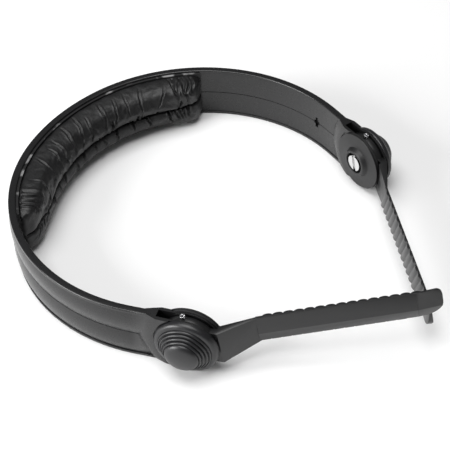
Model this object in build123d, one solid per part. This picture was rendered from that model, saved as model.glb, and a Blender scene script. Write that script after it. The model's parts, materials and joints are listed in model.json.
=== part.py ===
from build123d import *
import os
from math import cos, radians, sin, sqrt

# Padded spring headband of a head-worn visor magnifier, with its two friction pivots and lens arms.
# Millimetres. +Z is up as the headband lies on its lower edge, +X runs forward from the back pad
# to the arm tips, and the wearer's left is +Y. The plan is drawn with the back of the band at x = 0
# and is then moved so that the origin is at the middle of the bounding box's floor.

# ---- driving dimensions ---------------------------------------------------------------------
PLAN_ORIGIN_X = 95.62        # plan x that becomes the part's x = 0

BAND_HEIGHT = 25.0
RIM_HALF = 1.55              # half thickness of the band at its two rims
FIELD_IN = 1.2               # inner face between the rims, from the centreline
FIELD_OUT = 1.15             # outer face where each hump starts
HUMP_OUT = 2.1               # crest of each hump
RIM_HEIGHT = 1.3
RIM_STEP = 0.2
GROOVE_HALF = 0.4            # half width of the flat between the two humps
BACK_RADIUS = 83.3           # centreline radius across the back of the head
BACK_HEADING = 14.3          # degrees each side that the back arc covers
SIDE_RADIUS = 72.4           # centreline radius round the sides of the head
SIDE_HEADING = 110.5         # heading where the side arc ends
STRAIGHT = 23.0              # from the end of the side arc to the pivot

CROSS_HEADING = 102.9        # blind cross in the inner face behind each fork
CROSS_HEIGHT = 5.2
CROSS_ARM = 3.4
CROSS_WIDTH = 1.7

PIVOT_Z = 13.6
FORK_TURN = 19.0             # degrees that each fork points inwards from +X
SLOT_HALF = 1.7
SLOT_END = -11.9             # closed end of the slot, from the pivot
CHEEK_OUT = 3.2
CHEEK_IN = 3.1
CHEEK_FLOOR = 2.5            # cheek face under the knob and under the inner disc
CHEEK_RADIUS = 12.3
NECK_RADIUS = 20.4           # outer edge of the fork's conical shoulder, about the pivot
NECK_OUT = 1.2               # the shoulder's faces there
NECK_IN = 1.0
SHOULDER_OUT_RADIUS = 16.2   # the fork is at full thickness inside these
SHOULDER_IN_RADIUS = 15.8
NECK_END = -12.8             # how far the band's own section runs into the fork
KNOB_RECESS_RADIUS = 13.2
DISC_RECESS_RADIUS = 13.6
DISC_RADIUS = 13.0

BOLT_RADIUS = 2.0
NUT_BORE_RADIUS = 2.05       # 0.05 running clearance on the bolt
HUB_BORE_RADIUS = 2.08
CLEAR_BORE_RADIUS = 2.35

HUB_RADIUS = 11.4
HUB_HALF = 1.25
ROOT_CUT_RADIUS = 13.7       # inside the fork's slot the root is thin; outside this it thickens
ROOT_OUT = 1.4               # outer face of the root, still inside the slot
ROOT_START = 9.6
ROOT_FULL = 12.8             # from here the outer face slants in to the fold
ROOT_LOW = -9.3
ROOT_HIGH = 6.3
ROOT_SLOPE = 0.54            # the inner face's slope in plan, from the slot to the fold
KINK_T = 25.0
KINK_N = 9.7                 # inner face of the bar at the fold
BAR_LENGTH = 59.1
BAR_HALF_HEIGHT = 6.1
BAR_TOP_THICK = 0.8
BAR_RIDGE_THICK = 2.1
BAR_RIDGE_Z = -1.3
BAR_BOTTOM_THICK = 0.8
HEAD_LENGTH = 9.4
HEAD_LOWER_ROUND = 7.0
HEAD_UPPER_ROUND = 2.6
HEAD_TURN = 5.3              # the head bends in this much more than the bar
RIB_START = 0.8              # from the fold to the middle of the first rib
RIB_PITCH = 3.94
RIB_COUNT = 15
RIB_WIDTH = 3.1
RIB_LEAN = 26.0
RIB_HEIGHT = 0.5             # crest of each rounded rib, above the inner face
RIB_FOOT = 0.7               # how far its ends are sunk in the bar
RIB_PROUD = 0.25
RIGHT_TOE_IN = 19.8          # the arm's angle to its fork, seen from above
LEFT_TOE_IN = 25.4
RIGHT_PITCH = 8.6            # how far each arm is raised at rest
LEFT_PITCH = -0.3

PIN_RADIUS = 1.05
PIN_BORE = 0.55
PIN_FOOT = 8.0
PIN_TOP = 13.1

PAD_START = -50.0            # headings between which the pad lies
PAD_END = 54.5
PAD_BACK = -1.6              # the backing strip's face against the band's rims
BACKING_THICK = 1.0
COVER_THICK = 0.8
PAD_LOW = 1.0
PAD_HIGH = 23.6
SEAM_Z = 10.8
PAD_SEAM = -11.3
LOWER_CREST = -13.2
UPPER_CREST = -13.9
PAD_SHOULDER = -7.0

MOVE_TO_ORIGIN = Location((-PLAN_ORIGIN_X, 0, 0))


# ---- the plan curve of the band ---------------------------------------------------------------
def direction(heading):
    """Unit vector along the band. Heading 0 is +Y at the back, 90 is +X at the wearer's left."""
    return Vector(sin(radians(heading)), cos(radians(heading)), 0)


def outward(heading):
    return Vector(-cos(radians(heading)), sin(radians(heading)), 0)


BACK_CENTRE = Vector(BACK_RADIUS, 0, 0)
SIDE_CENTRE = (BACK_CENTRE + outward(BACK_HEADING) * BACK_RADIUS
               - outward(BACK_HEADING) * SIDE_RADIUS)
PIVOT = (SIDE_CENTRE + outward(SIDE_HEADING) * SIDE_RADIUS
         + direction(SIDE_HEADING) * STRAIGHT + Vector(0, 0, PIVOT_Z))


def arc_at(heading):
    """Centre and radius of the arc that holds this heading."""
    if abs(heading) <= BACK_HEADING:
        return BACK_CENTRE, BACK_RADIUS
    side = 1 if heading > 0 else -1
    return Vector(SIDE_CENTRE.X, SIDE_CENTRE.Y * side, 0), SIDE_RADIUS


def plane_at(heading, arc_heading=None):
    """Section plane: local x points out of the head, local y is +Z, normal runs along the band."""
    centre, radius = arc_at(heading if arc_heading is None else arc_heading)
    return Plane(centre + outward(heading) * radius, x_dir=outward(heading), z_dir=direction(heading))


def along_band(section, start, end):
    """Carry a flat section from one heading to another along the band's arcs."""
    stops = [start] + [h for h in (-BACK_HEADING, BACK_HEADING) if start < h < end] + [end]
    pieces = []
    for low, high in zip(stops, stops[1:]):
        middle = (low + high) / 2
        centre, _ = arc_at(middle)
        face = plane_at(low, middle) * section
        pieces.append(revolve(face, axis=Axis(centre, (0, 0, -1)), revolution_arc=high - low))
    return fused(pieces)


def fused(pieces):
    whole = pieces[0]
    for piece in pieces[1:]:
        whole = whole + piece
    return whole


def outline(*steps):
    """Closed face from points, and from (through, end) pairs for arcs."""
    edges = []
    here = steps[0]
    for step in steps[1:]:
        if isinstance(step[0], tuple):
            edges.append(ThreePointArc(here, step[0], step[1]))
            here = step[1]
        else:
            edges.append(Line(here, step))
            here = step
    edges.append(Line(here, steps[0]))
    return make_face(edges)


# ---- placing pivot pieces ---------------------------------------------------------------------
# Pivot pieces are drawn about the wearer's right pivot: x along the fork, y into the head, z up.
def on_right(piece):
    spot = Location((PIVOT.X, -PIVOT.Y, PIVOT.Z), (0, 0, FORK_TURN))
    return MOVE_TO_ORIGIN * spot * piece


def on_left(piece):
    spot = Location((PIVOT.X, -PIVOT.Y, PIVOT.Z), (0, 0, FORK_TURN))
    return MOVE_TO_ORIGIN * mirror(spot * piece, about=Plane.XZ)


def turned(*steps):
    """Solid of revolution about the pivot axis, from (radius, y) steps."""
    return revolve(outline(*steps), axis=Axis.Y)


def round_bar(radius, y_from, y_to):
    return Plane.XZ.offset(-y_to) * extrude(Circle(radius), y_to - y_from)


# ---- headband ---------------------------------------------------------------------------------
def band_section():
    low_edge = RIM_HEIGHT + RIM_STEP
    high_edge = BAND_HEIGHT - low_edge
    middle = BAND_HEIGHT / 2
    low_crest = (low_edge + middle) / 2
    return outline(
        (RIM_HALF, 0), (RIM_HALF, RIM_HEIGHT), (FIELD_OUT, low_edge),
        ((HUMP_OUT, low_crest), (FIELD_OUT, middle - GROOVE_HALF)),
        (FIELD_OUT, middle + GROOVE_HALF),
        ((HUMP_OUT, BAND_HEIGHT - low_crest), (FIELD_OUT, high_edge)),
        (RIM_HALF, BAND_HEIGHT - RIM_HEIGHT), (RIM_HALF, BAND_HEIGHT),
        (-RIM_HALF, BAND_HEIGHT), (-RIM_HALF, BAND_HEIGHT - RIM_HEIGHT), (-FIELD_IN, high_edge),
        (-FIELD_IN, low_edge), (-RIM_HALF, RIM_HEIGHT), (-RIM_HALF, 0))


def fork():
    """Slotted end of the band: a conical shoulder, and two cheeks with a recess for knob and disc."""
    low = -PIVOT_Z
    high = BAND_HEIGHT - PIVOT_Z
    reach = CHEEK_RADIUS + 1
    body = turned(
        (0, -CHEEK_OUT), (SHOULDER_OUT_RADIUS, -CHEEK_OUT), (NECK_RADIUS, -NECK_OUT),
        (NECK_RADIUS, NECK_IN), (SHOULDER_IN_RADIUS, CHEEK_IN), (0, CHEEK_IN))
    strip = Plane.XZ * Polygon(
        (-NECK_RADIUS, low), (-7.0, low), (-2.0, 0.3 - CHEEK_RADIUS), (0, 0.3 - CHEEK_RADIUS), (0, high),
        (-NECK_RADIUS, high), align=None)
    side = extrude(strip, 5, both=True) + round_bar(CHEEK_RADIUS, -5, 5)
    body = body & side
    slot = Location(((SLOT_END + reach) / 2, 0, 0)) * Box(reach - SLOT_END, 2 * SLOT_HALF, 2 * reach + 2)
    body = body - slot
    body = body - round_bar(KNOB_RECESS_RADIUS, -5, -CHEEK_FLOOR)
    body = body - round_bar(DISC_RECESS_RADIUS, CHEEK_FLOOR, 5)
    body = body - round_bar(CLEAR_BORE_RADIUS, -5, 5)
    for peg in disc_pegs(0.05):
        body = body - peg
    return body


def disc_pegs(play=0.0):
    """Two pegs that stop the inner disc from turning in its cheek."""
    return [Location((0, 0, z)) * round_bar(0.9 + play, 1.9 - play, 3.2 + play) for z in (-8.5, 8.5)]


def cross_recess(side):
    """Small blind cross moulded into the inner face, a little behind each fork."""
    spot = plane_at(side * CROSS_HEADING)
    depth = 0.8
    cross = Box(2 * depth, CROSS_HEIGHT, CROSS_WIDTH) + Box(2 * depth, CROSS_WIDTH, CROSS_ARM)
    return spot * Location((-FIELD_IN, PIVOT_Z - 1.0, 0)) * cross


def make_headband():
    section = band_section()
    band = along_band(section, -SIDE_HEADING, SIDE_HEADING)
    tail = STRAIGHT + NECK_END + 0.5
    for side in (-1, 1):
        end = extrude(plane_at(side * SIDE_HEADING) * section, tail * side)
        band = band + end - cross_recess(side)
    spot = Location((PIVOT.X, -PIVOT.Y, PIVOT.Z), (0, 0, FORK_TURN))
    right = spot * fork()
    band = band + right + mirror(right, about=Plane.XZ)
    return MOVE_TO_ORIGIN * band


# ---- back pad -----------------------------------------------------------------------------------
def lower_roll(inset):
    back = PAD_BACK - BACKING_THICK - inset
    return outline(
        (back, PAD_LOW + inset), (PAD_SHOULDER, PAD_LOW + inset),
        ((LOWER_CREST + inset, 5.6), (PAD_SEAM + inset, SEAM_Z - inset)), (back, SEAM_Z - inset))


def upper_roll(inset):
    back = PAD_BACK - BACKING_THICK - inset
    return outline(
        (back, SEAM_Z + inset), (PAD_SEAM + inset, SEAM_Z + inset),
        ((UPPER_CREST + inset, 16.8), (PAD_SHOULDER, PAD_HIGH - inset)), (back, PAD_HIGH - inset))


def make_pad():
    """Leatherette cover with one sewn channel, a foam roll each side of it, and a backing strip."""
    end_gap = 0.7
    lower_foam = along_band(lower_roll(COVER_THICK), PAD_START + end_gap, PAD_END - end_gap)
    upper_foam = along_band(upper_roll(COVER_THICK), PAD_START + end_gap, PAD_END - end_gap)
    cover = along_band(lower_roll(0) + upper_roll(0), PAD_START, PAD_END) - lower_foam - upper_foam
    strip = outline(
        (PAD_BACK, PAD_LOW), (PAD_BACK, PAD_HIGH + 0.4), (PAD_BACK - BACKING_THICK, PAD_HIGH + 0.4),
        (PAD_BACK - BACKING_THICK, PAD_LOW))
    backing = along_band(strip, PAD_START, PAD_END)
    return {
        "pad_cover": MOVE_TO_ORIGIN * cover,
        "pad_foam_lower": MOVE_TO_ORIGIN * lower_foam,
        "pad_foam_upper": MOVE_TO_ORIGIN * upper_foam,
        "pad_backing": MOVE_TO_ORIGIN * backing,
    }


# ---- lens arm -------------------------------------------------------------------------------------
def bar_section():
    """Local x is 0 on the ribbed inner face and negative outside it, local y runs up."""
    return outline(
        (0, -BAR_HALF_HEIGHT), (0, BAR_HALF_HEIGHT), (-BAR_TOP_THICK, BAR_HALF_HEIGHT),
        (-BAR_RIDGE_THICK, BAR_RIDGE_Z), (-BAR_BOTTOM_THICK, -BAR_HALF_HEIGHT))


def bar_plane(t, n, angle):
    """Plane across the bar: x towards the inside, y up, normal along the bar."""
    a = radians(angle)
    return Plane((t, n, 0), x_dir=(-sin(a), cos(a), 0), z_dir=(cos(a), sin(a), 0))


def root_wedge():
    """Solid root: flat-sided in the slot, then folding in and thinning to the bar."""
    def rectangle_at(t, n_out, n_in, low, high):
        across = Plane((t, 0, 0), x_dir=(0, 1, 0), z_dir=(1, 0, 0))
        return across * Polygon((n_out, low), (n_in, low), (n_in, high), (n_out, high), align=None)

    fold = KINK_T + 0.4
    starts, full = (
        rectangle_at(t, -ROOT_OUT, KINK_N - ROOT_SLOPE * (fold - t), ROOT_LOW, ROOT_HIGH)
        for t in (ROOT_START, ROOT_FULL))
    tip = rectangle_at(fold, KINK_N - BAR_TOP_THICK, KINK_N, -BAR_HALF_HEIGHT, BAR_HALF_HEIGHT)
    root = loft([starts, full]) + loft([full, tip])
    return root - round_bar(ROOT_CUT_RADIUS, HUB_HALF, 8)


def rib_section():
    """Rounded hump: local x is its height above the inner face, local y runs along the bar."""
    half = RIB_WIDTH / 2
    return outline((-RIB_FOOT, -half), (0, -half), ((RIB_HEIGHT, 0), (0, half)), (-RIB_FOOT, half))


def make_arm(toe_in):
    hub = round_bar(HUB_RADIUS, -HUB_HALF, HUB_HALF)
    start = bar_plane(KINK_T, KINK_N, toe_in)
    bar = start.offset(-0.6) * extrude(bar_section(), BAR_LENGTH + 0.6)
    bend_t = KINK_T + BAR_LENGTH * cos(radians(toe_in))
    bend_n = KINK_N + BAR_LENGTH * sin(radians(toe_in))
    head_plane = bar_plane(bend_t, bend_n, toe_in + HEAD_TURN)
    head = head_plane.offset(-0.1) * extrude(bar_section(), HEAD_LENGTH + 0.1)
    side = Rectangle(2 * HEAD_LENGTH, 2 * BAR_HALF_HEIGHT)
    corners = side.vertices().filter_by_position(Axis.X, 0.1, HEAD_LENGTH + 1)
    low, high = corners.sort_by(Axis.Y)
    side = fillet(low, HEAD_LOWER_ROUND)
    side = fillet(side.vertices().sort_by(Axis.Y)[-2:].sort_by(Axis.X)[-1], HEAD_UPPER_ROUND)
    # The rounded side view is drawn with x along the head and y up, then stood across its thickness.
    side_plane = Plane(head_plane.origin, x_dir=head_plane.z_dir, z_dir=head_plane.x_dir * -1)
    head = head & extrude(side_plane * side, 6, both=True)
    arm = root_wedge() + bar + head + hub
    rib_half = (BAR_HALF_HEIGHT + RIB_PROUD + RIB_WIDTH / 2) / cos(radians(RIB_LEAN))
    for i in range(RIB_COUNT):
        along = RIB_START + i * RIB_PITCH
        spot = bar_plane(KINK_T + along * cos(radians(toe_in)), KINK_N + along * sin(radians(toe_in)), toe_in)
        rib = Location((0, 0, 0), (RIB_LEAN, 0, 0)) * extrude(Plane.XZ * rib_section(), rib_half, both=True)
        keep = Box(4, 2 * (BAR_HALF_HEIGHT + RIB_PROUD), 20)
        arm = arm + spot * (rib & keep)
    arm = arm - round_bar(HUB_BORE_RADIUS, -6, 6)
    arm = arm - extrude(Location((0, 0, PIN_FOOT)) * Circle(PIN_RADIUS), 10)
    return arm


def make_stop_pin():
    """Slotted spring pin pressed into the hub's rim; it meets the fork when the arm is raised."""
    pin = Location((0, 0, PIN_FOOT)) * extrude(Circle(PIN_RADIUS) - Circle(PIN_BORE), PIN_TOP - PIN_FOOT)
    gap = Location((PIN_RADIUS, 0, (PIN_FOOT + PIN_TOP) / 2)) * Box(2 * PIN_RADIUS, 0.4, 10)
    return pin - gap


# ---- pivot hardware ---------------------------------------------------------------------------------
def make_bolt():
    """Hex bolt, moulded into the knob."""
    head = Plane.XZ.offset(5.0) * extrude(RegularPolygon(3.5, 6, major_radius=False), 2.9)
    return head + round_bar(BOLT_RADIUS, -5.2, 4.6)


def make_knob():
    """Clamp knob: a wide flange, four stepped finger rings and a smooth dome."""
    steps = [(0, -3.3), (6.0, -3.3), (6.0, -2.6), (12.8, -2.6), (12.8, -3.5),
             ((11.9, -4.7), (10.75, -5.35))]
    for k in range(4):
        r = 10.6 - 1.0 * k
        n = -5.3 - 0.95 * k
        steps += [(r, n + 0.25), (r - 0.15, n - 0.75), (r - 0.75, n - 0.95)]
    dome_edge, dome_rise, dome_top = 6.4, 2.1, -11.5
    ball = (dome_edge ** 2 + dome_rise ** 2) / (2 * dome_rise)
    middle = dome_top + ball - sqrt(ball ** 2 - (dome_edge / 2) ** 2)
    steps += [(6.55, -8.95), (dome_edge, dome_top + dome_rise), ((dome_edge / 2, middle), (0, dome_top))]
    return turned(*steps) - make_bolt()


def make_nut():
    """Barrel nut with a screwdriver slot across its closed face."""
    body = turned((0, 3.62), (3.6, 3.62), (3.6, 5.85), (3.4, 6.05), (0, 6.05))
    return body - round_bar(NUT_BORE_RADIUS, 3.0, 4.7) - Location((0, 5.75, 0)) * Box(9, 1.0, 1.1)


def make_disc():
    """Inner clamp disc with a raised boss round the nut and two pegs into the cheek."""
    disc = turned(
        (0, 2.95), (DISC_RADIUS - 0.3, 2.95), (DISC_RADIUS, 3.2), (DISC_RADIUS, 3.75),
        (DISC_RADIUS - 0.3, 4.05), (6.9, 4.15), (5.9, 6.0), (0, 6.0))
    disc = disc - round_bar(4.75, 3.6, 7) - round_bar(CLEAR_BORE_RADIUS, 2, 5)
    return disc + fused(disc_pegs())


def make_disc_washer():
    washer = round_bar(DISC_RADIUS - 0.2, 2.53, 2.93) - round_bar(2.6, 2, 4)
    for peg in disc_pegs(0.05):
        washer = washer - peg
    return washer


def make_friction_washer(low):
    return round_bar(9.0, low, low + 0.4) - round_bar(3.0, low - 1, low + 1)


def make_disc_spring():
    """Cupped spring washer under the knob, which keeps the clamp load up."""
    return turned((2.4, -3.15), (2.4, -2.85), (5.7, -2.55), (5.7, -2.85)) - round_bar(2.3, -6, 0)


# ---- write every node -------------------------------------------------------------------------------
def raised(piece, pitch):
    """Turn a piece about the pivot axis so that the arm's tip goes up."""
    return Rotation(0, -pitch, 0) * piece


def make_nodes():
    nodes = {"headband": make_headband()}
    nodes.update(make_pad())
    hardware = {
        "knob": make_knob(),
        "pivot_bolt": make_bolt(),
        "disc_spring": make_disc_spring(),
        "friction_washer_outer": make_friction_washer(-1.68),
        "friction_washer_inner": make_friction_washer(1.28),
        "disc_washer": make_disc_washer(),
        "inner_disc": make_disc(),
        "pivot_nut": make_nut(),
    }
    sides = {"left": (on_left, LEFT_TOE_IN, LEFT_PITCH), "right": (on_right, RIGHT_TOE_IN, RIGHT_PITCH)}
    for side, (place, toe_in, pitch) in sides.items():
        nodes[f"{side}_arm"] = place(raised(make_arm(toe_in), pitch))
        nodes[f"{side}_stop_pin"] = place(raised(make_stop_pin(), pitch))
        for name, piece in hardware.items():
            nodes[f"{side}_{name}"] = place(piece)
    return nodes


os.makedirs("parts", exist_ok=True)
for node, solid in make_nodes().items():
    export_step(solid, f"parts/{node}.step")
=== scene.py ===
import json
import random
from math import atan2, cos, exp, hypot, pi, radians, sin

import bmesh
import bpy
from mathutils import Matrix, Vector, noise


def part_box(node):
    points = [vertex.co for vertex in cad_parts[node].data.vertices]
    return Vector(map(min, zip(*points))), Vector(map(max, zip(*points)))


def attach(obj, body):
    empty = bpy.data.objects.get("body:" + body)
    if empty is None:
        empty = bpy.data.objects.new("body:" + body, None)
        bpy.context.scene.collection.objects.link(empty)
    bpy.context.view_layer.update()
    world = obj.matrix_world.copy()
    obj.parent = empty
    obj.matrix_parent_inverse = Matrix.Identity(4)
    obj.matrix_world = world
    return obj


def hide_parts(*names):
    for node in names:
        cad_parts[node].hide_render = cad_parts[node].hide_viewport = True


# Padded spring headband with two friction pivots and ribbed lens arms. Sizes here are millimetres and
# degrees, as on the drawing; new_piece() turns a finished shape into metres.
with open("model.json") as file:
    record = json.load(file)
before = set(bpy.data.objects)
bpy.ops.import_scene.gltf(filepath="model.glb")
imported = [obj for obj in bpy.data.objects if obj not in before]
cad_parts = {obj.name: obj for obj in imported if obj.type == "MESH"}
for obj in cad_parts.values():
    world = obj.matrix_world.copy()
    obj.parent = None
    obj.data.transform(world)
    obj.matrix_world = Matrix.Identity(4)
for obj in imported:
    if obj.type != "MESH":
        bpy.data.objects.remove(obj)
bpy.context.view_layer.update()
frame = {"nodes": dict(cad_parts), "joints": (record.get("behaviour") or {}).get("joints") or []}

MM = 0.001

# ---- the band's plan and section ----------------------------------------------------------------
BAND_HEIGHT = 25.0
RIM_HALF = 1.55
RIM_ROUND = 0.5
RIM_HEIGHT = 1.3
FIELD_IN = 1.2
FIELD_OUT = 1.15
HUMP_OUT = 2.1
LINE_DEPTH = 0.28            # fine grooves beside the rims and along the middle of both faces
LINE_HALF = 0.16
BACK_RADIUS = 83.3
BACK_HEADING = 14.3
SIDE_RADIUS = 72.4
SIDE_HEADING = 110.5
STRAIGHT = 23.0
CROSS_HEADING = 102.9        # blind cross in the inner face behind each fork
CROSS_HEIGHT = 5.2
CROSS_ARM = 3.4
CROSS_WIDTH = 1.7
CROSS_DEPTH = 1.0

# ---- the forks ------------------------------------------------------------------------------------
PIVOT_Z = 13.6
FORK_TURN = 19.0
SLOT_HALF = 1.7
SLOT_END = -11.9
CHEEK_OUT = 3.2
CHEEK_IN = 3.1
CHEEK_FLOOR = 2.5
CHEEK_RADIUS = 12.3
NECK_RADIUS = 20.4           # outer edge of the fork's conical shoulder, about the pivot
NECK_OUT = 1.2
NECK_IN = 1.0
SHOULDER_OUT_RADIUS = 16.2   # the fork is at full thickness inside these
SHOULDER_IN_RADIUS = 15.8
NECK_END = -12.8
KNOB_RECESS_RADIUS = 13.2
DISC_RECESS_RADIUS = 13.6
DISC_RADIUS = 13.0
BORE_RADIUS = 2.35
LOWER_CORNER = -7.0          # the fork's lower edge runs straight to here, then into the round end
ROUND_END = (-99, 112)       # degrees of the round end, from its lower to its upper edge
CUT_REACH = 6.0              # cutting shapes run past the fork's faces by this from the middle
SLOT_REACH = 20.0
FORK_SINK = 0.5              # the band's tails run this far into the forks
CROSS_DROP = 1.0             # the cross lies this much lower than the pivot

# ---- the pad ----------------------------------------------------------------------------------------
PAD_START = -50.0
PAD_END = 54.5
PAD_LOW = 1.0
PAD_HIGH = 23.6
PAD_BACK = 2.6               # depths are measured inwards from the band's middle line
PAD_SHOULDER = 7.0
SEAM_Z = 10.8
SEAM_DEPTH = 8.6
LOWER_CREST = 12.7
UPPER_CREST = 13.3

ORIGIN_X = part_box("headband")[0].x / MM + HUMP_OUT
BACK_CENTRE = Vector((ORIGIN_X + BACK_RADIUS, 0, 0))


def outward(heading):
    """Unit vector out of the head. Heading 0 is at the back, and 90 at the wearer's left."""
    return Vector((-cos(radians(heading)), sin(radians(heading)), 0))


def along(heading):
    """Unit vector along the band, towards the wearer's left."""
    return Vector((sin(radians(heading)), cos(radians(heading)), 0))


SIDE_CENTRE = BACK_CENTRE + outward(BACK_HEADING) * (BACK_RADIUS - SIDE_RADIUS)


def arc_of(heading):
    """Centre and radius of the plan arc that holds this heading."""
    if abs(heading) <= BACK_HEADING:
        return BACK_CENTRE, BACK_RADIUS
    side = 1 if heading > 0 else -1
    return Vector((SIDE_CENTRE.x, SIDE_CENTRE.y * side, 0)), SIDE_RADIUS


def heading_of(point):
    """Heading of a point near the band, from the arc whose span holds it."""
    arm = point - BACK_CENTRE
    back = fold_angle(arm)
    if abs(back) <= BACK_HEADING:
        return back
    centre, _ = arc_of(back)
    return fold_angle(point - centre)


def fold_angle(arm):
    """Angle in degrees from straight back to this plan vector, either way."""
    from_back = Vector((-arm.x, arm.y))
    return from_back.angle_signed(Vector((1, 0)), 0) / radians(1)


# ---- mesh helpers -----------------------------------------------------------------------------------
def new_piece(bm, name, place=Matrix()):
    """Close up a shape drawn in millimetres, face it outwards, and make it an object in metres."""
    bmesh.ops.transform(bm, matrix=Matrix.Scale(MM, 4) @ place, verts=bm.verts)
    bmesh.ops.remove_doubles(bm, verts=bm.verts, dist=0.002 * MM)
    bmesh.ops.recalc_face_normals(bm, faces=bm.faces)
    mesh = bpy.data.meshes.new(name)
    bm.to_mesh(mesh)
    bm.free()
    piece = bpy.data.objects.new(name, mesh)
    bpy.context.scene.collection.objects.link(piece)
    return piece


def apply_modifiers(piece):
    """Turn what the modifiers make into the piece's own mesh."""
    bpy.context.view_layer.update()
    made = piece.evaluated_get(bpy.context.evaluated_depsgraph_get())
    mesh = bpy.data.meshes.new_from_object(made)
    piece.modifiers.clear()
    piece.data = mesh
    return piece


def combine(piece, tool, operation):
    """UNION, DIFFERENCE or INTERSECT of two closed pieces. The second one is used up."""
    change = piece.modifiers.new(operation, "BOOLEAN")
    change.operation = operation
    change.solver = "EXACT"
    change.object = tool
    apply_modifiers(piece)
    bpy.data.objects.remove(tool)
    return piece


def ease_edges(piece, width, angle=30, segments=2):
    """Moulded parts have no knife edges: round every edge sharper than the angle."""
    bevel = piece.modifiers.new("eased", "BEVEL")
    bevel.width = width * MM
    bevel.segments = segments
    bevel.limit_method = "ANGLE"
    bevel.angle_limit = radians(angle)
    bevel.harden_normals = False
    apply_modifiers(piece)
    piece.data.shade_smooth()
    piece.data.set_sharp_from_angle(angle=radians(35))
    return piece


def copy_of(node, name):
    """A CAD node's shape as a new, merged mesh that can be worked on."""
    bm = bmesh.new()
    bm.from_mesh(frame["nodes"][node].data)
    bmesh.ops.remove_doubles(bm, verts=bm.verts, dist=0.002 * MM)
    bmesh.ops.dissolve_limit(
        bm, angle_limit=radians(0.6), verts=bm.verts, edges=bm.edges, use_dissolve_boundaries=False)
    mesh = bpy.data.meshes.new(name)
    bm.to_mesh(mesh)
    bm.free()
    piece = bpy.data.objects.new(name, mesh)
    bpy.context.scene.collection.objects.link(piece)
    return piece


def chain(bm, points):
    """Open run of edges through (x, y, z) points."""
    verts = [bm.verts.new(p) for p in points]
    return [bm.edges.new(pair) for pair in zip(verts, verts[1:])]


def turned(steps, segments=128):
    """Shape turned about the pivot axis, from (radius, y) steps that start and end on the axis."""
    bm = bmesh.new()
    profile = chain(bm, [(r, y, 0) for r, y in steps])
    bmesh.ops.spin(
        bm, geom=profile + bm.verts[:], cent=(0, 0, 0), axis=(0, 1, 0), angle=2 * pi,
        steps=segments, use_merge=True, use_duplicate=False)
    bmesh.ops.remove_doubles(bm, verts=bm.verts, dist=0.001)
    return bm


def round_bar(radius, low, high, segments=128):
    return turned([(0, low), (radius, low), (radius, high), (0, high)], segments)


def block(low, high):
    """Box between two corners."""
    bm = bmesh.new()
    bmesh.ops.create_cube(bm, size=1)
    low, high = Vector(low), Vector(high)
    bmesh.ops.scale(bm, vec=high - low, verts=bm.verts)
    bmesh.ops.translate(bm, vec=(low + high) / 2, verts=bm.verts)
    return bm


def arc(centre, radius, start, end, count):
    """Points on an arc in a plane, angles in degrees."""
    turns = [radians(start + (end - start) * i / count) for i in range(count + 1)]
    return [(centre[0] + radius * cos(a), centre[1] + radius * sin(a)) for a in turns]


def pivot_place(side):
    """Matrix from a pivot's own axes (x along the fork, y into the head, z up) to the frame."""
    joint = next(j for j in frame["joints"] if j["name"] == side + "_arm_pivot")
    hand = 1 if side == "right" else -1
    turn = radians(FORK_TURN)
    place = Matrix((
        (cos(turn), -sin(turn), 0, 0),
        (hand * sin(turn), hand * cos(turn), 0, 0),
        (0, 0, 1, 0),
        (0, 0, 0, 1)))
    place.translation = Vector(joint["pos_m"]) / MM
    return place


# ---- materials ----------------------------------------------------------------------------------------
def linear(hex_colour):
    """sRGB hex to the linear RGBA that shaders take."""
    shares = [int(hex_colour[i:i + 2], 16) / 255 for i in (1, 3, 5)]
    return [s / 12.92 if s <= 0.04045 else ((s + 0.055) / 1.055) ** 2.4 for s in shares] + [1]


def add(tree, kind, inputs=(), **settings):
    """Add a node, with its properties and its inputs: a value, or an output to link from."""
    made = tree.nodes.new(kind)
    for name, value in settings.items():
        setattr(made, name, value)
    for name, value in dict(inputs).items():
        if isinstance(value, bpy.types.NodeSocket):
            tree.links.new(value, made.inputs[name])
        else:
            made.inputs[name].default_value = value
    return made


def per_mm(size):
    """Pattern scale on Object coordinates for one repeat in so many millimetres."""
    return 1 / (size * MM)


def start_material(name, finish):
    """Material with a Principled shader set to these inputs. Patterns read the object's own axes."""
    material = bpy.data.materials.new(name)
    material.use_nodes = True
    tree = material.node_tree
    tree.nodes.clear()
    shader = add(tree, "ShaderNodeBsdfPrincipled", finish)
    add(tree, "ShaderNodeOutputMaterial", {"Surface": shader.outputs["BSDF"]})
    place = add(tree, "ShaderNodeTexCoord").outputs["Object"]
    return material, tree, shader, place


def moulded_nylon(name, dark, light, roughness, grain, depth):
    """Injection-moulded black nylon: a spark-eroded grain, and a sheen that drifts with the flow."""
    material, tree, shader, place = start_material(name, {"IOR": 1.53})
    drift = add(tree, "ShaderNodeTexNoise", {"Vector": place, "Scale": per_mm(28), "Detail": 3.0})
    colour = add(tree, "ShaderNodeMix", {
        "Factor": drift.outputs["Fac"], "A": linear(dark), "B": linear(light)}, data_type="RGBA")
    tree.links.new(colour.outputs["Result"], shader.inputs["Base Color"])
    scuffs = add(tree, "ShaderNodeTexNoise", {
        "Vector": place, "Scale": per_mm(3.5), "Detail": 6.0, "Roughness": 0.65})
    gloss = add(tree, "ShaderNodeMapRange", {
        "Value": scuffs.outputs["Fac"], "To Min": roughness - 0.06, "To Max": roughness + 0.08})
    tree.links.new(gloss.outputs["Result"], shader.inputs["Roughness"])
    spark = add(tree, "ShaderNodeTexNoise", {
        "Vector": place, "Scale": per_mm(grain), "Detail": 2.0, "Roughness": 0.6})
    bump = add(tree, "ShaderNodeBump", {
        "Height": spark.outputs["Fac"], "Strength": 0.5, "Distance": depth * MM})
    tree.links.new(bump.outputs["Normal"], shader.inputs["Normal"])
    return material


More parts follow.
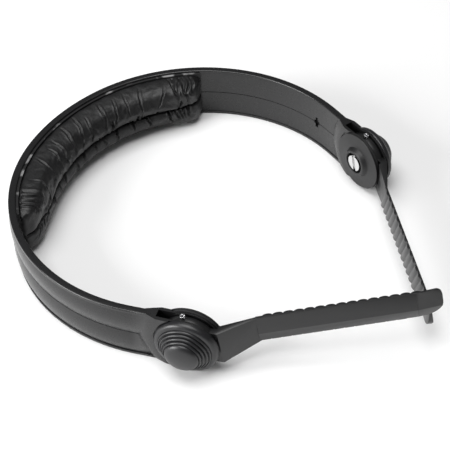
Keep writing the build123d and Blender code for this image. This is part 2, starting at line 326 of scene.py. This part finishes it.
def creased_leatherette():
    """Black PVC-coated cloth: pebbled grain, fine stretch creases, a soft skin sheen, and a painted
    highlight that lightens the crests of the creases.
    """
    material, tree, shader, place = start_material("creased_black_leatherette", {
        "IOR": 1.5, "Sheen Weight": 0.03, "Sheen Roughness": 0.4})
    pebble = add(tree, "ShaderNodeTexVoronoi", {
        "Vector": place, "Scale": per_mm(0.75), "Randomness": 1.0}, feature="SMOOTH_F1")
    crease = add(tree, "ShaderNodeTexNoise", {
        "Vector": place, "Scale": per_mm(5), "Detail": 8.0, "Roughness": 0.7, "Distortion": 1.2})
    # Painted highlight: the colour turns lighter where the crease noise rises, on the crests of the
    # creases.
    painted_crest_highlight = add(tree, "ShaderNodeMapRange", {
        "Value": crease.outputs["Fac"], "From Min": 0.35, "From Max": 0.7})
    colour = add(tree, "ShaderNodeMix", {
        "Factor": painted_crest_highlight.outputs["Result"], "A": linear("#09090a"), "B": linear("#0f0f10")},
        data_type="RGBA")
    tree.links.new(colour.outputs["Result"], shader.inputs["Base Color"])
    gloss = add(tree, "ShaderNodeMapRange", {
        "Value": crease.outputs["Fac"], "To Min": 0.36, "To Max": 0.55})
    tree.links.new(gloss.outputs["Result"], shader.inputs["Roughness"])
    grain = add(tree, "ShaderNodeBump", {
        "Height": pebble.outputs["Distance"], "Strength": 0.35, "Distance": 0.12 * MM})
    folds = add(tree, "ShaderNodeBump", {
        "Height": crease.outputs["Fac"], "Strength": 0.6, "Distance": 0.5 * MM,
        "Normal": grain.outputs["Normal"]})
    tree.links.new(folds.outputs["Normal"], shader.inputs["Normal"])
    return material


def plated_steel(name, colour, roughness, scratch):
    """Turned and plated steel: bright, with fine tool marks."""
    material, tree, shader, place = start_material(name, {
        "Base Color": linear(colour), "Metallic": 1.0})
    marks = add(tree, "ShaderNodeTexNoise", {"Vector": place, "Scale": per_mm(scratch), "Detail": 4.0})
    gloss = add(tree, "ShaderNodeMapRange", {
        "Value": marks.outputs["Fac"], "To Min": roughness - 0.05, "To Max": roughness + 0.1})
    tree.links.new(gloss.outputs["Result"], shader.inputs["Roughness"])
    bump = add(tree, "ShaderNodeBump", {
        "Height": marks.outputs["Fac"], "Strength": 0.3, "Distance": 0.02 * MM})
    tree.links.new(bump.outputs["Normal"], shader.inputs["Normal"])
    return material


def board_with_painted_highlight():
    """Black backing board, with a painted highlight in light grey patches along its top edge, above the
    cover.
    """
    material, tree, shader, place = start_material("backing_board_painted_highlight", {
        "IOR": 1.5, "Roughness": 0.6})
    # Painted highlight: above the cover, the top edge is painted light grey in noise patches.
    high = add(tree, "ShaderNodeSeparateXYZ", {"Vector": place}).outputs["Z"]
    above_cover = (PAD_HIGH + 0.1) * MM
    at_edge = add(tree, "ShaderNodeMath", {0: high, 1: above_cover}, operation="GREATER_THAN")
    patches = add(tree, "ShaderNodeTexNoise", {"Vector": place, "Scale": per_mm(7), "Detail": 4.0})
    highlight_share = add(tree, "ShaderNodeMapRange", {
        "Value": patches.outputs["Fac"], "From Min": 0.5, "From Max": 0.62})
    painted_highlight = add(tree, "ShaderNodeMath", {
        0: at_edge.outputs[0], 1: highlight_share.outputs["Result"]}, operation="MULTIPLY")
    colour = add(tree, "ShaderNodeMix", {
        "Factor": painted_highlight.outputs[0], "A": linear("#131314"), "B": linear("#8c8c8c")}, data_type="RGBA")
    tree.links.new(colour.outputs["Result"], shader.inputs["Base Color"])
    return material


def pressed_sheet(name, dark, light, roughness, fibre):
    """Fibre or board: dull, with a mottled, fibrous face."""
    material, tree, shader, place = start_material(name, {"IOR": 1.5, "Roughness": roughness})
    fibres = add(tree, "ShaderNodeTexNoise", {"Vector": place, "Scale": per_mm(fibre), "Detail": 5.0})
    colour = add(tree, "ShaderNodeMix", {
        "Factor": fibres.outputs["Fac"], "A": linear(dark), "B": linear(light)}, data_type="RGBA")
    tree.links.new(colour.outputs["Result"], shader.inputs["Base Color"])
    bump = add(tree, "ShaderNodeBump", {
        "Height": fibres.outputs["Fac"], "Strength": 0.4, "Distance": 0.05 * MM})
    tree.links.new(bump.outputs["Normal"], shader.inputs["Normal"])
    return material


# Injection-moulded black nylon. The sprung band is the glossiest: it shows soft light bands.
BAND_NYLON = moulded_nylon("satin_moulded_nylon", "#131314", "#171718", 0.27, 0.5, 0.02)
# Finer and duller on the arms, so that their facets read as flat greys.
ARM_NYLON = moulded_nylon("fine_matt_moulded_nylon", "#121213", "#171718", 0.34, 0.35, 0.03)
# A rougher spark texture for grip, which breaks the highlights on the knob's rings.
KNOB_NYLON = moulded_nylon("spark_textured_nylon", "#151517", "#1b1b1d", 0.36, 0.3, 0.04)
# The discs are the dullest moulding, an even grey with no highlight.
DISC_NYLON = moulded_nylon("matt_moulded_nylon", "#0f0f10", "#141415", 0.46, 0.4, 0.03)
# Coated cloth: near black, with thin bright lines along its creases, a painted highlight on their crests.
LEATHERETTE = creased_leatherette()
# Die-cut board: a broken painted highlight line along the pad's top edge.
BACKING_BOARD = board_with_painted_highlight()
# Pressed fibre washers: dull and dark, seen only as thin lines.
FIBRE = pressed_sheet("pressed_fibre", "#1a1a1b", "#252526", 0.7, 0.6)
# Zinc-plated steel, on the bolts and springs in the pivots: a soft grey shine.
ZINC_STEEL = plated_steel("zinc_plated_steel", "#b9bbbf", 0.34, 0.4)
# Turned and nickel-plated steel: the nuts are the brightest spots.
NICKEL_STEEL = plated_steel("nickel_plated_steel", "#dedede", 0.2, 0.3)
# Rolled spring steel: a small bright ring in each hub's rim.
PIN_STEEL = plated_steel("bright_rolled_steel", "#d8d8da", 0.22, 0.3)


def dress(piece, material):
    """Give a piece its finish."""
    piece.data.materials.clear()
    piece.data.materials.append(material)
    return piece


# ---- headband -----------------------------------------------------------------------------------------
def fine_line(face, middle, towards):
    """Three (out, z) points of a V groove in a face at this height, listed towards +z or -z."""
    deep = face - LINE_DEPTH * (1 if face > 0 else -1)
    half = LINE_HALF * towards
    return [(face, middle - half), (deep, middle), (face, middle + half)]


def band_outline():
    """The band's section as (out, z) points: a bead at each edge and two shallow humps outside."""
    middle = BAND_HEIGHT / 2
    low = RIM_HEIGHT + 2 * LINE_HALF
    points = [(RIM_HALF, 0), (RIM_HALF, RIM_HEIGHT), (FIELD_OUT - LINE_DEPTH, RIM_HEIGHT + LINE_HALF)]
    for start, end in ((low, middle - LINE_HALF), (middle + LINE_HALF, BAND_HEIGHT - low)):
        for i in range(13):
            share = i / 12
            rise = (HUMP_OUT - FIELD_OUT) * (1 - (2 * share - 1) ** 2)
            points.append((FIELD_OUT + rise, start + (end - start) * share))
        if end < middle:
            points.append((FIELD_OUT - LINE_DEPTH, middle))
    points += [
        (FIELD_OUT - LINE_DEPTH, BAND_HEIGHT - RIM_HEIGHT - LINE_HALF),
        (RIM_HALF, BAND_HEIGHT - RIM_HEIGHT), (RIM_HALF, BAND_HEIGHT),
        (-RIM_HALF, BAND_HEIGHT), (-RIM_HALF, BAND_HEIGHT - RIM_HEIGHT),
        (LINE_DEPTH - FIELD_IN, BAND_HEIGHT - RIM_HEIGHT - LINE_HALF), (-FIELD_IN, BAND_HEIGHT - low)]
    points += fine_line(-FIELD_IN, middle, -1)
    points += [(-FIELD_IN, low), (LINE_DEPTH - FIELD_IN, RIM_HEIGHT + LINE_HALF),
               (-RIM_HALF, RIM_HEIGHT), (-RIM_HALF, 0)]
    return points


def carry_along(bm, section, stops, step=1.5):
    """Spin a section's edges through the plan arcs between headings, and return the last ring."""
    ring = section
    for low, high in zip(stops, stops[1:]):
        centre, _ = arc_of((low + high) / 2)
        turned_ring = bmesh.ops.spin(
            bm, geom=ring, cent=centre, axis=(0, 0, -1), angle=radians(high - low),
            steps=max(1, round((high - low) / step)), use_merge=False, use_duplicate=False)
        ring = turned_ring["geom_last"]
    return ring


def section_at(bm, outline, heading, arc_heading):
    """A closed ring of edges with this (out, z) outline, standing across the band."""
    centre, radius = arc_of(arc_heading)
    base = centre + outward(heading) * radius
    verts = [bm.verts.new(base + outward(heading) * out + Vector((0, 0, z))) for out, z in outline]
    return bm.faces.new(verts)


def only_verts(geometry):
    return [v for v in geometry if isinstance(v, bmesh.types.BMVert)]


def make_band():
    """The band: one section spun round the plan arcs, a straight tail and a fork at both ends."""
    bm = bmesh.new()
    face = section_at(bm, band_outline(), -SIDE_HEADING, -SIDE_HEADING)
    corners = [v for v in face.verts if abs(v.co.z - BAND_HEIGHT / 2) > BAND_HEIGHT / 2 - 0.1]
    bmesh.ops.bevel(
        bm, geom=corners, offset=RIM_ROUND, segments=5, profile=0.5, affect="VERTICES", material=-1)
    start, = bm.faces
    ring = start.edges[:] + start.verts[:]
    last = carry_along(bm, ring, (-SIDE_HEADING, -BACK_HEADING, BACK_HEADING, SIDE_HEADING))
    tail = STRAIGHT + NECK_END + FORK_SINK
    last_edges = [e for e in last if isinstance(e, bmesh.types.BMEdge)]
    grown = bmesh.ops.extrude_edge_only(bm, edges=last_edges)["geom"]
    bmesh.ops.translate(bm, vec=along(SIDE_HEADING) * tail, verts=only_verts(grown))
    bmesh.ops.contextual_create(bm, geom=[e for e in grown if isinstance(e, bmesh.types.BMEdge)])
    first = bmesh.ops.extrude_face_region(bm, geom=[start])["geom"]
    bmesh.ops.translate(bm, vec=along(-SIDE_HEADING) * -tail, verts=only_verts(first))
    # The first section would stay behind as a wall inside the band.
    bmesh.ops.delete(bm, geom=[start], context="FACES_ONLY")
    band = new_piece(bm, "headband_shell")
    for side in ("left", "right"):
        combine(band, make_fork(side), "UNION")
        combine(band, make_cross(side), "DIFFERENCE")
    ease_edges(band, 0.16, 28)
    return band


def side_outline():
    """The fork seen from the side, as a flat plate: a strip that runs into a round end."""
    low, high = -PIVOT_Z, BAND_HEIGHT - PIVOT_Z
    points = [(-NECK_RADIUS - 1, high), (-NECK_RADIUS - 1, low), (LOWER_CORNER, low)]
    return points + arc((0, 0), CHEEK_RADIUS, *ROUND_END, 72)


def make_fork(side):
    """Two round cheeks with a recess each, on a conical shoulder that runs out into the band."""
    body = turned([
        (0, -CHEEK_OUT), (SHOULDER_OUT_RADIUS, -CHEEK_OUT), (NECK_RADIUS, -NECK_OUT),
        (NECK_RADIUS, NECK_IN), (SHOULDER_IN_RADIUS, CHEEK_IN), (0, CHEEK_IN)], 192)
    fork = new_piece(body, side + "_fork")
    plate = bmesh.new()
    face = plate.faces.new([plate.verts.new((t, -CUT_REACH, z)) for t, z in side_outline()])
    grown = bmesh.ops.extrude_face_region(plate, geom=[face])["geom"]
    bmesh.ops.translate(plate, vec=(0, 2 * CUT_REACH, 0), verts=only_verts(grown))
    combine(fork, new_piece(plate, "plate"), "INTERSECT")
    slot = block((SLOT_END, -SLOT_HALF, -SLOT_REACH), (SLOT_REACH, SLOT_HALF, SLOT_REACH))
    combine(fork, new_piece(slot, "slot"), "DIFFERENCE")
    for radius, low, high in (
            (KNOB_RECESS_RADIUS, -CUT_REACH, -CHEEK_FLOOR), (DISC_RECESS_RADIUS, CHEEK_FLOOR, CUT_REACH),
            (BORE_RADIUS, -CUT_REACH - 1, CUT_REACH + 1)):
        combine(fork, new_piece(round_bar(radius, low, high), "recess"), "DIFFERENCE")
    fork.data.transform(Matrix.Scale(MM, 4) @ pivot_place(side) @ Matrix.Scale(1 / MM, 4))
    face_outwards(fork)
    return fork


def face_outwards(piece):
    """A place that mirrors a shape turns it inside out, so its normals are worked out again."""
    bm = bmesh.new()
    bm.from_mesh(piece.data)
    bmesh.ops.recalc_face_normals(bm, faces=bm.faces)
    bm.to_mesh(piece.data)
    bm.free()
    return piece


def make_cross(side):
    """Small blind cross in the inner face behind each fork."""
    heading = CROSS_HEADING if side == "left" else -CROSS_HEADING
    centre, radius = arc_of(heading)
    spot = centre + outward(heading) * (radius - FIELD_IN)
    spot.z = PIVOT_Z - CROSS_DROP
    place = Matrix.Translation(spot) @ Matrix((
        (outward(heading).x, along(heading).x, 0, 0),
        (outward(heading).y, along(heading).y, 0, 0),
        (0, 0, 1, 0),
        (0, 0, 0, 1)))
    bars = []
    for width, height in ((CROSS_WIDTH, CROSS_HEIGHT), (CROSS_ARM, CROSS_WIDTH)):
        corner = Vector((CROSS_DEPTH, width / 2, height / 2))
        bars.append(new_piece(block(-corner, corner), "cross_bar", place))
    return combine(bars[0], bars[1], "UNION")


# ---- pad ------------------------------------------------------------------------------------------------
SIM_SCALE = 10.0             # the cloth solver behaves best on shapes about a metre long
SIM_FRAMES = 26
VOXEL = 0.7
NEUTRAL_DEPTH = 7.0          # the cover was sewn flat and is as long as the band is at this depth
PAD_CAP = 2.0                # furthest that the cloth may move from where it starts
PAD_ROUND = (20.0, 7.0)      # length over which the right and the left end round off
SEAM_CLIMB = 1.8             # how much higher the sewn line lies at the left end
SEAM_PRESS = 2.4             # how far the thread pulls the sewn line in, and over what half width
SEAM_WIDTH = 0.55
PAD_END_THICK = 0.16         # share of the full thickness that is left at the very ends
PAD_END_HEIGHT = 0.8         # and of the full height
HELD_HALF = 0.6              # the thread holds the cover this near to the sewn line
HELD_SKIN = 0.9              # and the backing holds what lies within this of it
START_WAVE = 0.3             # small waves that the simulation starts from
CREASE_WANDER = 1.3
CREASE_LIMIT = 1.6
BACK_FACE = 1.2              # no creases within this of the backing
ROLLS = {                    # name: lowest and highest z, and the depth of the crest
    "lower": (PAD_LOW, SEAM_Z, LOWER_CREST),
    "upper": (SEAM_Z, PAD_HIGH, UPPER_CREST),
}


def pad_outline():
    """Section of the stuffed cover as (out, z) points: two rolls with the sewn line between them."""
    points = [(-PAD_BACK, PAD_HIGH), (-PAD_BACK, PAD_LOW)]
    for name, (low, high, crest) in ROLLS.items():
        for i in range(17):
            turn = radians(-90 + 180 * i / 16)
            at_seam = (turn > 0) == (name == "lower")
            base = SEAM_DEPTH if at_seam else PAD_SHOULDER
            depth = base + (crest - base) * cos(turn) ** 0.6
            points.append((-depth, (low + high) / 2 + (high - low) / 2 * sin(turn)))
    return points


def seam_height(heading):
    """Height of the sewn line, which wanders and climbs towards the left end."""
    share = (heading - PAD_START) / (PAD_END - PAD_START)
    return SEAM_Z + SEAM_CLIMB * share + 0.25 * noise.noise(Vector((heading * 0.2, 0, 0)))


def end_share(heading):
    """0 at either end of the pad, rising on a quarter round to 1."""
    share = 1
    for gap, length in zip((heading - PAD_START, PAD_END - heading), PAD_ROUND):
        left = 1 - min(1, max(0, radians(gap) * (SIDE_RADIUS - PAD_SHOULDER) / length))
        share = min(share, (1 - left ** 2) ** 0.5)
    return share


def depth_of(point):
    """How far inside the band's middle line a point lies."""
    centre, radius = arc_of(heading_of(point))
    return radius - hypot(point.x - centre.x, point.y - centre.y)


def length_at(heading, depth):
    """Length along the band from the middle of the back, at this depth."""
    back = max(-BACK_HEADING, min(BACK_HEADING, heading))
    return radians(back) * (BACK_RADIUS - depth) + radians(heading - back) * (SIDE_RADIUS - depth)


def unbent(point):
    """Where a point of the cover lay when the pad was sewn flat: (length, depth, z)."""
    return Vector((length_at(heading_of(point), NEUTRAL_DEPTH), depth_of(point), point.z))


def stuffed_blank():
    """The pad's plain closed shape, remeshed evenly, in metres."""
    bm = bmesh.new()
    face = section_at(bm, pad_outline(), PAD_START, PAD_START)
    carry_along(bm, face.edges[:] + face.verts[:], (PAD_START, -BACK_HEADING, BACK_HEADING, PAD_END))
    bmesh.ops.holes_fill(bm, edges=[e for e in bm.edges if e.is_boundary])
    middle = (PAD_LOW + PAD_HIGH) / 2
    for vert in bm.verts:
        heading = heading_of(vert.co)
        share = end_share(heading)
        depth = depth_of(vert.co)
        pulled = PAD_BACK + (depth - PAD_BACK) * (PAD_END_THICK + (1 - PAD_END_THICK) * share)
        vert.co += outward(heading) * (depth - pulled)
        near_seam = 1 - abs(vert.co.z - SEAM_Z) / (PAD_HIGH - SEAM_Z)
        vert.co.z += (seam_height(heading) - SEAM_Z) * near_seam
        vert.co.z = middle + (vert.co.z - middle) * (PAD_END_HEIGHT + (1 - PAD_END_HEIGHT) * share)
    blank = new_piece(bm, "pad_cover_sewn")
    remesh = blank.modifiers.new("even", "REMESH")
    remesh.mode = "VOXEL"
    remesh.voxel_size = VOXEL * MM
    return apply_modifiers(blank)


def simulate_cover(pad):
    """Bend the flat-sewn cover to the band: its inner face is then too long, and buckles into creases."""
    rest = [v.co.copy() / MM for v in pad.data.vertices]
    held = pad.vertex_groups.new(name="held")
    bent = pad.shape_key_add(name="bent", from_mix=False)
    flat = pad.shape_key_add(name="sewn_flat", from_mix=False)
    for i, point in enumerate(rest):
        depth = depth_of(point)
        off_seam = abs(point.z - seam_height(heading_of(point)))
        in_seam = off_seam < HELD_HALF and depth < SEAM_DEPTH + HELD_SKIN
        if depth < PAD_BACK + HELD_SKIN or in_seam:
            held.add([i], 1.0, "REPLACE")
        start = point + noise.noise_vector(point * 0.35) * START_WAVE
        bent.data[i].co = start * MM * SIM_SCALE
        flat.data[i].co = unbent(point) * MM * SIM_SCALE
    cloth = pad.modifiers.new("cover", "CLOTH")
    settings = cloth.settings
    settings.quality = 7
    settings.mass = 0.06
    settings.tension_stiffness = 30
    settings.compression_stiffness = 30
    settings.shear_stiffness = 10
    settings.bending_stiffness = 0.15
    settings.air_damping = 3
    settings.use_pressure = True
    settings.uniform_pressure_force = 5.0
    settings.vertex_group_mass = "held"
    settings.rest_shape_key = flat
    settings.effector_weights.gravity = 0
    cloth.point_cache.frame_start = 1
    cloth.point_cache.frame_end = SIM_FRAMES
    for number in range(1, SIM_FRAMES + 1):
        bpy.context.scene.frame_set(number)
    made = pad.evaluated_get(bpy.context.evaluated_depsgraph_get())
    moved = [v.co.copy() / (MM * SIM_SCALE) for v in made.data.vertices]
    pad.modifiers.clear()
    pad.shape_key_clear()
    for vert, start, end in zip(pad.data.vertices, rest, moved):
        step = end - start
        if step.length > PAD_CAP:
            step = step.normalized() * PAD_CAP
        vert.co = (start + step) * MM
    bpy.context.scene.frame_set(1)
    return pad


def crease_plan():
    """Creases pressed into each roll, as (middle length, slant, from angle, to angle, depth, width).

    Angles go round the roll: 90 at its top edge, 0 at the crest and -90 at its bottom edge.
    """
    dice = random.Random(7)
    start, end = length_at(PAD_START, UPPER_CREST), length_at(PAD_END, UPPER_CREST)
    plan = {"upper": [], "lower": []}
    # Each row: first and last place, gap, the angles it starts and ends between, depth, width.
    across = [(start + 6, end - 3, 6.4, (84, 50), (10, -50), 0.75, 0.38)]
    pinches = [(start + 14, end - 8, 7.0, (-88, -82), (-45, 5), 1.5, 0.42)]
    for low, high, gap, begin, finish, depth, width in across + pinches:
        at = low
        while at < high:
            plan["upper"].append((
                at + dice.uniform(-1.5, 1.5), dice.uniform(0.01, 0.06), dice.uniform(*begin),
                dice.uniform(*finish), depth * dice.uniform(0.5, 1.2), width * dice.uniform(0.7, 1.3)))
            at += gap * dice.uniform(0.6, 1.4)
    at = start + 12
    while at < end - 10:
        plan["lower"].append((
            at, dice.uniform(-0.03, 0.02), 86, dice.uniform(-60, 40),
            dice.uniform(0.7, 1.6), dice.uniform(0.35, 0.55)))
        at += dice.uniform(5, 11)
    for edge, inwards in ((start, 1), (end, -1)):
        for i in range(5):
            for name in plan:
                at = edge + inwards * (1.5 + 2.0 * i)
                plan[name].append((
                    at, inwards * dice.uniform(0.02, 0.07), 88, dice.uniform(10, 50),
                    dice.uniform(0.4, 0.8), dice.uniform(0.4, 0.7)))
    return plan


def crease_depth(length, angle, crease, wander):
    """How far this crease presses in a point of its roll, with a low ridge thrown up on both sides."""
    middle, slant, first, last, depth, width = crease
    low, high = min(first, last), max(first, last)
    if not low - 12 < angle < high + 12:
        return 0.0
    away = (length - middle - slant * angle - wander) / width
    if abs(away) > 4:
        return 0.0
    fade = min(1, (angle - low + 12) / 24, (high + 12 - angle) / 24)
    return depth * fade * (exp(-away * away) - 0.35 * exp(-(abs(away) - 1.9) ** 2))


def press_creases(pad):
    """Press the planned creases and the sewn line into the cover."""
    plan = crease_plan()
    normals = [v.normal.copy() for v in pad.data.vertices]
    for vert, normal in zip(pad.data.vertices, normals):
        point = vert.co / MM
        depth = depth_of(point)
        if depth < PAD_BACK + BACK_FACE:
            continue
        seam = seam_height(heading_of(point))
        name = "upper" if point.z > seam else "lower"
        low, high, crest = ROLLS[name]
        level = (depth - PAD_BACK) * (high - low) / (2 * crest)
        angle = atan2(point.z - (low + high) / 2, level) / radians(1)
        length = length_at(heading_of(point), UPPER_CREST)
        wander = CREASE_WANDER * noise.noise(Vector((length * 0.12, angle * 0.03, 3.0)))
        press = sum(crease_depth(length, angle, crease, wander) for crease in plan[name])
        sewn = SEAM_PRESS * exp(-((point.z - seam) / SEAM_WIDTH) ** 2)
        inwards = outward(heading_of(point)) * sewn
        vert.co += (inwards - normal * min(press, CREASE_LIMIT)) * MM
    return pad


def make_pad():
    """The sewn cover, simulated and creased."""
    pad = stuffed_blank()
    simulate_cover(pad)
    smooth = pad.modifiers.new("smooth", "SUBSURF")
    smooth.levels = 1
    smooth.render_levels = 1
    apply_modifiers(pad)
    press_creases(pad)
    pad.data.shade_smooth()
    return pad


# ---- pivot hardware ---------------------------------------------------------------------------------
RING_COUNT = 4
RING_STEP_RADIUS = 1.0
RING_STEP = 0.95
KNURL_TEETH = 96
KNURL_DEPTH = 0.12
KNURL_BAND = (-4.6, -2.7)    # along the axis, on the flange's rim
FLANGE_RADIUS = 12.8
FLANGE_EDGE = -3.6           # the flange's round shoulder starts here
SHOULDER_WIDE = 2.05
SHOULDER_DEEP = 1.75
FIRST_RING_RADIUS = 10.65
FIRST_RING = -5.3
DOME_RADIUS = 6.7
DOME_EDGE = -9.2
DOME_RISE = 2.25
BOSS_MOUTH = 4.75            # hole in the disc's boss, round the nut
NUT_RADIUS = 3.6
NUT_FACES = (3.7, 6.05)
NUT_SLOT_TURN = 78.0
NUT_SLOT_HALF = 0.75
NUT_SLOT_FLOOR = 5.3


def knob_profile():
    """Half section of the knob as (radius, y): flange, four stepped rings with grooves, and a dome."""
    steps = [(0, -3.3), (6.0, -3.3), (6.0, -2.6), (FLANGE_RADIUS - 0.3, -2.6), (FLANGE_RADIUS, -2.8),
             (FLANGE_RADIUS, FLANGE_EDGE)]
    for i in range(1, 7):
        turn = radians(90 * i / 6)
        steps.append((
            FLANGE_RADIUS - SHOULDER_WIDE * (1 - cos(turn)), FLANGE_EDGE - SHOULDER_DEEP * sin(turn)))
    for ring in range(RING_COUNT):
        radius = FIRST_RING_RADIUS - RING_STEP_RADIUS * ring
        y = FIRST_RING - RING_STEP * ring
        steps += [(radius - 0.1, y + 0.35), (radius, y - 0.1), (radius - 0.05, y - 0.5),
                  (radius - 0.22, y - 0.78), (radius - 0.45, y - 0.88), (radius - 0.66, y - 0.6)]
    steps += [(DOME_RADIUS + 0.05, DOME_EDGE + 0.45), (DOME_RADIUS + 0.05, DOME_EDGE)]
    for i in range(1, 14):
        turn = radians(90 * i / 14)
        steps.append((DOME_RADIUS * cos(turn), DOME_EDGE - DOME_RISE * sin(turn)))
    return steps + [(0, DOME_EDGE - DOME_RISE)]


def make_knob(side):
    """Clamp knob with a finely knurled rim."""
    bm = turned(knob_profile(), 2 * KNURL_TEETH)
    for vert in bm.verts:
        radius = hypot(vert.co.x, vert.co.z)
        if KNURL_BAND[0] < vert.co.y < KNURL_BAND[1] and radius > FLANGE_RADIUS - 0.8:
            turn = vert.co.xz.angle_signed(Vector((1, 0)), 0)
            tooth = round(turn / (pi / KNURL_TEETH)) % 2
            grow = 1 - KNURL_DEPTH * tooth / radius
            vert.co.x *= grow
            vert.co.z *= grow
    knob = new_piece(bm, side + "_knob_moulding", pivot_place(side))
    knob.data.shade_smooth()
    knob.data.set_sharp_from_angle(angle=radians(50))
    return knob


def make_disc(side):
    """Inner clamp disc: a rim with two fine grooves, a flat face and a raised boss round the nut."""
    steps = [(0, 2.95), (12.7, 2.95), (DISC_RADIUS, 3.1)]
    for y in (3.3, 3.62):
        steps += [(DISC_RADIUS, y - 0.06), (DISC_RADIUS - 0.22, y), (DISC_RADIUS, y + 0.06)]
    steps += [(DISC_RADIUS, 3.85), (12.92, 3.98), (12.7, 4.05), (7.3, 4.12), (6.95, 4.2), (6.75, 4.5),
              (6.1, 5.6), (5.9, 5.9), (5.6, 6.0), (BOSS_MOUTH + 0.2, 6.0), (BOSS_MOUTH + 0.05, 5.92),
              (BOSS_MOUTH, 5.75), (BOSS_MOUTH, 3.6), (0, 3.6)]
    disc = new_piece(turned(steps, 160), side + "_disc_moulding", pivot_place(side))
    disc.data.shade_smooth()
    disc.data.set_sharp_from_angle(angle=radians(40))
    return disc


def make_nut(side):
    """Barrel nut with a screwdriver slot across its face."""
    nut = new_piece(round_bar(NUT_RADIUS, *NUT_FACES, 96), side + "_nut_turned")
    slot = block((-6, NUT_SLOT_FLOOR, -NUT_SLOT_HALF), (6, 7, NUT_SLOT_HALF))
    tilt = Matrix.Rotation(radians(NUT_SLOT_TURN), 4, "Y")
    combine(nut, new_piece(slot, "slot", tilt), "DIFFERENCE")
    nut.data.transform(Matrix.Scale(MM, 4) @ pivot_place(side) @ Matrix.Scale(1 / MM, 4))
    face_outwards(nut)
    return ease_edges(nut, 0.18, 40, 3)


# ---- put the pieces on the frame --------------------------------------------------------------------
band = dress(make_band(), BAND_NYLON)
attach(band, "headband")
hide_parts("headband")

pad = dress(make_pad(), LEATHERETTE)
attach(pad, "headband")
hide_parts("pad_cover", "pad_foam_lower", "pad_foam_upper")

dress(frame["nodes"]["pad_backing"], BACKING_BOARD)

for side in ("left", "right"):
    knob = dress(make_knob(side), KNOB_NYLON)
    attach(knob, side + "_knob")
    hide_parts(side + "_knob")
    disc = dress(make_disc(side), DISC_NYLON)
    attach(disc, "headband")
    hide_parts(side + "_inner_disc")
    nut = dress(make_nut(side), NICKEL_STEEL)
    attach(nut, "headband")
    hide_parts(side + "_pivot_nut")
    arm = ease_edges(copy_of(side + "_arm", side + "_arm_moulding"), 0.14, 24)
    dress(arm, ARM_NYLON)
    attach(arm, side + "_arm")
    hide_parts(side + "_arm")
    pin = ease_edges(copy_of(side + "_stop_pin", side + "_rolled_pin"), 0.1, 40)
    dress(pin, PIN_STEEL)
    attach(pin, side + "_arm")
    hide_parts(side + "_stop_pin")
    for name, material, slot in (
            ("pivot_bolt", ZINC_STEEL, "bolt_steel"), ("disc_spring", ZINC_STEEL, "bolt_steel"),
            ("friction_washer_outer", FIBRE, "fibre_washer"),
            ("friction_washer_inner", FIBRE, "fibre_washer"), ("disc_washer", FIBRE, "fibre_washer")):
        dress(frame["nodes"][side + "_" + name], material)


# ---- studio -----------------------------------------------------------------------------------------
def make_floor():
    """Pale paper sweep, well past the edges of the view."""
    bm = bmesh.new()
    bmesh.ops.create_grid(bm, x_segments=1, y_segments=1, size=20000)
    floor = new_piece(bm, "paper_floor")
    material, tree, shader, place = start_material("white_paper", {"IOR": 1.45, "Roughness": 0.8})
    fibres = add(tree, "ShaderNodeTexNoise", {"Vector": place, "Scale": per_mm(40)})
    colour = add(tree, "ShaderNodeMix", {
        "Factor": fibres.outputs["Fac"], "A": linear("#f4f4f4"), "B": linear("#f6f6f6")}, data_type="RGBA")
    tree.links.new(colour.outputs["Result"], shader.inputs["Base Color"])
    floor.data.materials.append(material)


def make_softbox(name, aim, spot, size, power):
    """Square area light at a spot, pointed at the aim, all in metres and watts."""
    light = bpy.data.lights.new(name, "AREA")
    light.shape = "SQUARE"
    light.size = size
    light.energy = power
    lamp = bpy.data.objects.new(name, light)
    lamp.location = spot
    lamp.rotation_euler = (Vector(aim) - Vector(spot)).to_track_quat("-Z", "Y").to_euler()
    bpy.context.scene.collection.objects.link(lamp)


def make_camera():
    """93 mm lens, about half a metre away, above the wearer's right and front."""
    lens = bpy.data.cameras.new("camera")
    lens.lens = 93.38
    lens.sensor_width = 36.0
    lens.clip_start = 0.01
    camera = bpy.data.objects.new("camera", lens)
    right = Vector((0.80352, 0.59419, -0.03587))
    up = Vector((-0.39599, 0.57854, 0.71308))
    back = right.cross(up).normalized()
    turn = Matrix((right, up, back)).transposed()
    camera.matrix_world = Matrix.Translation((0.21273, -0.27463, 0.35079)) @ turn.to_4x4()
    bpy.context.scene.collection.objects.link(camera)
    bpy.context.scene.camera = camera


make_floor()
make_camera()
middle = (0.0, 0.0, 0.01)
make_softbox("overhead_softbox", middle, (-0.05, -0.1, 1.0), 0.8, 9.5)
make_softbox("front_softbox", middle, (-0.42, -0.72, 0.34), 0.5, 9.0)
world = bpy.data.worlds.new("studio")
world.use_nodes = True
world.node_tree.nodes["Background"].inputs["Color"].default_value = linear("#ffffff")
world.node_tree.nodes["Background"].inputs["Strength"].default_value = 0.16
bpy.context.scene.world = world
bpy.context.scene.view_settings.view_transform = "Standard"
